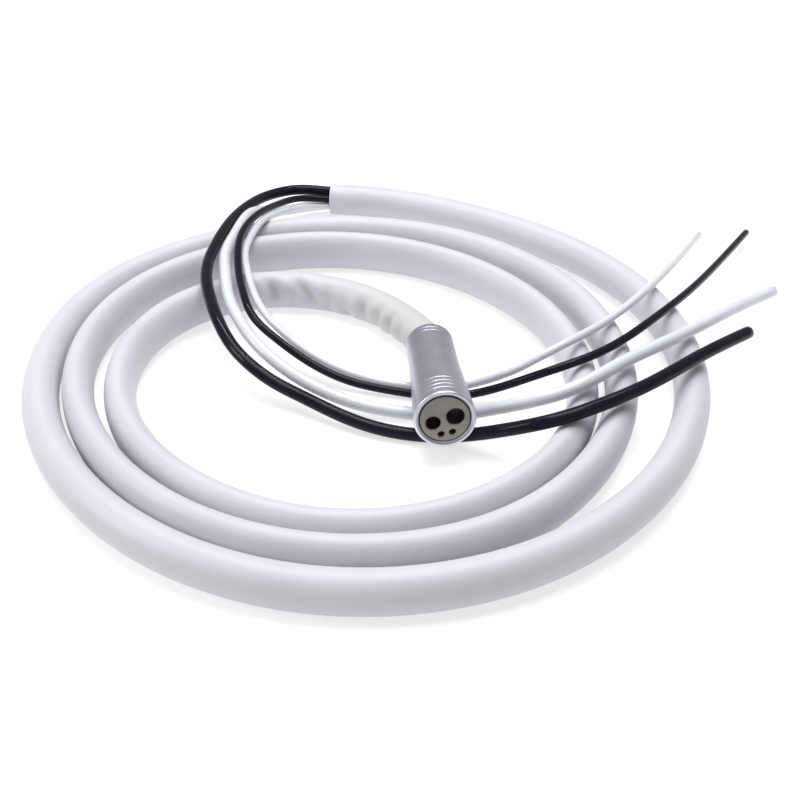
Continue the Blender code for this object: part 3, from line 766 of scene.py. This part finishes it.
def nut_outside():
    """Outside of the nut from front to rear: flare, four grip grooves, two fine grooves by the lip."""
    depths = np.arange(FIRST_OUTSIDE_ROW, LAST_OUTSIDE_ROW, -OUTSIDE_ROW_STEP)
    radii = flare(depths)
    wear_and_highlight = np.zeros(len(depths))
    for front_edges, behind, deep, half_width, wear_and_highlight_share in GROOVES:
        for front_edge in front_edges:
            cut, edge_wear_and_highlight = groove(depths, front_edge - behind, deep, half_width)
            radii -= cut
            wear_and_highlight += wear_and_highlight_share * edge_wear_and_highlight
    return np.stack([radii, depths], axis=1), np.clip(wear_and_highlight, 0, 1)


def nut_profile():
    """The nut's outline as (radius, depth) rows, each stretch's rows by name, and the outside's wear and
    painted highlight.
    """
    outside, wear_and_highlight = nut_outside()
    bore_depths = np.linspace(NUT_BORE_START, SHOULDER_REAR, NUT_BORE_ROWS)
    thread_depths = np.arange(THREAD_REAR, THREAD_FRONT, THREAD_PITCH / THREAD_ROWS_PER_PITCH)
    stretches = {
        "outside": outside,
        "rear round": arc(*REAR_ROUND_CENTRE, REAR_ROUND, 0, -90),
        "rear chamfer": [(NUT_BORE + REAR_CHAMFER, NUT_REAR), (NUT_BORE, NUT_REAR + REAR_CHAMFER)],
        "bore": np.stack([np.full(NUT_BORE_ROWS, NUT_BORE), bore_depths], axis=1),
        "shoulder": [
            (SHOULDER_RADIUS + SHOULDER_BREAK, SHOULDER_REAR),
            (SHOULDER_RADIUS, SHOULDER_REAR + SHOULDER_BREAK),
            (SHOULDER_RADIUS, SHOULDER_FRONT - SHOULDER_BREAK),
            (SHOULDER_RADIUS + SHOULDER_BREAK, SHOULDER_FRONT),
        ],
        "seat": [(THREAD_MAJOR, SHOULDER_FRONT)],
        "thread": np.stack([np.full(len(thread_depths), THREAD_MAJOR), thread_depths], axis=1),
        "mouth": MOUTH[:-1],
        "rim": np.vstack([MOUTH[-1:], arc(*RIM_ROUND_CENTRE, RIM_ROUND, 90, 5, 10)]),
    }
    spans = {}
    count = 0
    for name, rows in stretches.items():
        spans[name] = slice(count, count + len(rows))
        count += len(rows)
    return np.vstack(list(stretches.values())), spans, wear_and_highlight


def nut():
    """The sleeve nut as one closed skin: outside, rear lip, bore, shoulder, screw thread, front rim.

    Thread: radius = major - (major - minor) * crest, where crest is a triangle wave of depth / pitch +
    angle / turn, cut off flat at both ends.
    """
    profile, spans, wear_and_highlight = nut_profile()
    angles = np.linspace(0, 2 * pi, ROUND_SIDES, endpoint=False)
    radii = np.repeat(profile[:, :1], ROUND_SIDES, axis=1)
    thread = spans["thread"]
    phase = (profile[thread, 1][:, None] / THREAD_PITCH + angles[None, :] / (2 * pi)) % 1.0
    crest = np.clip(THREAD_SLOPE * np.abs(phase - 0.5) * 2 - THREAD_ROOT, 0, 1)
    radii[thread] = THREAD_MAJOR - (THREAD_MAJOR - THREAD_MINOR) * crest
    local = np.stack([
        radii * np.cos(angles), radii * np.sin(angles), np.repeat(profile[:, 1:], ROUND_SIDES, axis=1),
    ], axis=-1)
    points = on_coupling(local.reshape(-1, 3)).reshape(local.shape)
    along = chord_lengths(profile)
    piece = grid_piece("coupling_nut_sleeve", points, NUT_FINISH, (along, 2 * pi * RIM_RADIUS), sharp=50)
    # Lighter rim, rear lip and groove edges: wear and painted highlight.
    wear_and_highlight_share = np.zeros(len(profile))
    wear_and_highlight_share[spans["outside"]] = wear_and_highlight
    wear_and_highlight_share[spans["rim"]] = RIM_WEAR_AND_HIGHLIGHT
    wear_and_highlight_share[spans["rear round"]] = REAR_WEAR_AND_HIGHLIGHT
    vertex_values(piece, "wear_and_highlight", np.repeat(wear_and_highlight_share, ROUND_SIDES))
    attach(piece, "nut")
    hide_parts("coupling_nut")


HOLES = {                       # face holes: (right, up), radius, depth
    "exhaust": ((0.00237, 0.00045), 0.00203, 0.0045),
    "drive_air": ((-0.00262, -0.00104), 0.00165, 0.0045),
    "chip_air": ((-0.00079, -0.00390), 0.00068, 0.0018),
    "water": ((0.00175, -0.00345), 0.00070, 0.0018),
}
HOLE_CHAMFER = 0.00022
HOLE_SIDES = 64
DRILL_CORNER = 0.92             # a hole's floor: its flat part's radius, as a share of the hole's radius
DRILL_RISE = 0.1                # and how much deeper that part lies, as the same share
WAY_SIDES = 32
WAY_OVERLAP = 0.0003            # a way's cutter starts this far inside its hole
OVERCUT = 0.0005                # how far a cutter reaches past the surface it opens
PASSAGE_RADII = {"exhaust": 0.0006, "drive_air": 0.0006, "chip_air": 0.0003, "water": 0.0003}
SOCKET_FLOOR = CORE_END + 0.0043
SOCKET_RADII = {"exhaust": 0.0009, "drive_air": 0.0009, "chip_air": 0.00062, "water": 0.00062}
FLANGE_RADIUS = 0.00565
FLANGE_REAR = -0.0024
FLANGE_ROUND = 0.00018
FACE_RINGS = (0.0040, 0.00535)  # radii of two rings of points that keep the face flat
BARREL_RADIUS = 0.00475
NECK_RADIUS = 0.00455
NECK_FRONT = -0.0090


PER_METRE = 1000                # millimetres: booleans are cut at this size


def turned_solid(name, profile, centre=(0.0, 0.0), sides=ROUND_SIDES):
    """A turned solid about Z from (radius, depth) points that start and end on the axis, in millimetres.

    The two end points are the middles of its flat ends, each a single vertex.
    """
    profile = np.asarray(profile, float) * PER_METRE
    centre = np.asarray(centre, float) * PER_METRE
    inner = profile[1:-1]
    angles = np.linspace(0, 2 * pi, sides, endpoint=False)
    local = np.stack([
        centre[0] + inner[:, :1] * np.cos(angles), centre[1] + inner[:, :1] * np.sin(angles),
        np.repeat(inner[:, 1:], sides, axis=1),
    ], axis=-1).reshape(-1, 3)
    tips = [(*centre, profile[0, 1]), (*centre, profile[-1, 1])]
    points = np.vstack([local, tips])
    side = np.arange(sides)
    ahead = (side + 1) % sides
    row = np.arange(len(inner) - 1)[:, None] * sides
    below = row + sides
    walls = np.stack([row + side, below + side, below + ahead, row + ahead], axis=-1).reshape(-1, 4)
    last = (len(inner) - 1) * sides
    first_cap = np.stack([np.full(sides, len(local)), side, ahead], axis=-1)
    last_cap = np.stack([np.full(sides, len(local) + 1), last + ahead, last + side], axis=-1)
    mesh = bpy.data.meshes.new(name)
    mesh.from_pydata(points, [], [*walls.tolist(), *first_cap.tolist(), *last_cap.tolist()])
    piece = bpy.data.objects.new(name, mesh)
    bpy.context.scene.collection.objects.link(piece)
    return piece


def hole_cutter(name):
    """Cutter for one hole of the face: chamfer, straight bore, drilled floor."""
    centre, radius, depth = HOLES[name]
    floor_depth = -depth - radius * DRILL_RISE
    profile = [
        (0, OVERCUT),
        (radius + HOLE_CHAMFER + OVERCUT, OVERCUT),
        (radius + HOLE_CHAMFER, 0),
        (radius, -HOLE_CHAMFER),
        (radius, -depth),
        (radius * DRILL_CORNER, floor_depth),
        (0, floor_depth),
    ]
    return turned_solid(name + "_hole", profile, centre, HOLE_SIDES)


def way_cutter(name):
    """Cutter for one way behind a hole: a narrow passage, then the spigot's socket out to the rear."""
    front = -HOLES[name][2] + WAY_OVERLAP
    rear = CORE_END - 2 * OVERCUT
    passage, socket = PASSAGE_RADII[name], SOCKET_RADII[name]
    profile = [
        (0, front),
        (passage, front),
        (passage, SOCKET_FLOOR),
        (socket, SOCKET_FLOOR),
        (socket, rear),
        (0, rear),
    ]
    return turned_solid(name + "_way", profile, WAYS[name][0], WAY_SIDES)


def core():
    """Flange, barrel and neck in one turned solid, with chamfered stepped holes cut through it."""
    profile = [
        (0, 0),
        *((radius, 0) for radius in FACE_RINGS),
        *arc(FLANGE_RADIUS - FLANGE_ROUND, -FLANGE_ROUND, FLANGE_ROUND, 90, 0, 5),
        (FLANGE_RADIUS, FLANGE_REAR / 2),
        (FLANGE_RADIUS, FLANGE_REAR),
        (BARREL_RADIUS, FLANGE_REAR),
        (BARREL_RADIUS, (FLANGE_REAR + NECK_FRONT) / 2),
        (BARREL_RADIUS, NECK_FRONT),
        (NECK_RADIUS, NECK_FRONT),
        (NECK_RADIUS, CORE_END),
        (0, CORE_END),
    ]
    piece = turned_solid("connector_core_body", profile)
    cutters = [make(name) for name in HOLES for make in (hole_cutter, way_cutter)]
    for cutter in cutters:
        modifier = piece.modifiers.new(cutter.name, "BOOLEAN")
        modifier.operation = "DIFFERENCE"
        modifier.solver = "EXACT"
        modifier.object = cutter
    shown = piece.evaluated_get(bpy.context.evaluated_depsgraph_get())
    finished = bpy.data.meshes.new_from_object(shown)
    local = np.empty(3 * len(finished.vertices), np.float32)
    finished.vertices.foreach_get("co", local)
    placed = on_coupling(local.reshape(-1, 3) / PER_METRE)
    finished.vertices.foreach_set("co", placed.astype(np.float32).ravel())
    finished.update()
    piece.modifiers.clear()
    piece.data = finished
    for cutter in cutters:
        bpy.data.objects.remove(cutter, do_unlink=True)
    finished.materials.clear()
    finished.materials.append(CORE_FINISH)
    finished.shade_smooth()
    finished.set_sharp_from_angle(angle=radians(30))
    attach(piece, "root")
    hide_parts("connector_core")


def inner_parts():
    """Finishes of the small parts that keep their modelled shape."""
    finishes = {"thrust_washer": ACETAL_FINISH, "sheath_ferrule": STEEL_FINISH}
    finishes |= {name + "_spigot": STEEL_FINISH for name in WAYS}
    finishes |= {name + "_sleeve": BRASS_FINISH for name in ("exhaust", "drive_air")}
    for name, finish in finishes.items():
        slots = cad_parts[name].material_slots
        for slot in slots:
            slot.material = finish


nut()
core()
inner_parts()


# ---- Floor and light -----------------------------------------------------------------------------------
def floor():
    """A wide pale sheet under the hose."""
    finish = Finish("floor_paper")
    grain = finish.noise(finish.place(), 300, 2)
    paper = finish.done(
        Base_Color=finish.mix(grain, (0.50, 0.50, 0.50, 1), (0.52, 0.52, 0.52, 1)),
        Roughness=0.9,
        Specular_IOR_Level=0.0,
        Emission_Color=(1.0, 1.0, 1.0, 1.0),
        Emission_Strength=0.58,
    )
    half = 3.0
    level = -0.0002
    mesh = bpy.data.meshes.new("floor")
    corners = [(-half, -half, level), (half, -half, level), (half, half, level), (-half, half, level)]
    mesh.from_pydata(corners, [], [(0, 1, 2, 3)])
    mesh.materials.append(paper)
    made = bpy.data.objects.new("floor", mesh)
    bpy.context.scene.collection.objects.link(made)


def softbox(name, place, target, width, height, power):
    """A rectangular area light at a place, turned to a target."""
    data = bpy.data.lights.new(name, "AREA")
    data.shape = "RECTANGLE"
    data.size, data.size_y = width, height
    data.energy = power
    made = bpy.data.objects.new(name, data)
    made.location = place
    aim = Vector(target) - Vector(place)
    made.rotation_euler = aim.to_track_quat("-Z", "Y").to_euler()
    bpy.context.scene.collection.objects.link(made)


def studio():
    """A pale surround, a softbox overhead, a narrow strip high behind, and a softbox on the left."""
    world = bpy.data.worlds.new("surround")
    world.use_nodes = True
    surround = world.node_tree.nodes["Background"]
    surround.inputs["Color"].default_value = (1.0, 1.0, 1.0, 1.0)
    surround.inputs["Strength"].default_value = 0.38
    bpy.context.scene.world = world
    softbox("overhead", (0.0, 0.10, 0.80), (0, 0.02, 0), 0.60, 0.50, 5.5)
    softbox("strip", (0.0, 0.42, 0.72), (0, 0, 0), 0.80, 0.02, 2.6)
    softbox("left", (-0.75, -0.15, 0.45), (0, 0, 0), 0.25, 0.50, 2.4)
    bpy.context.scene.view_settings.view_transform = "Standard"


floor()
studio()
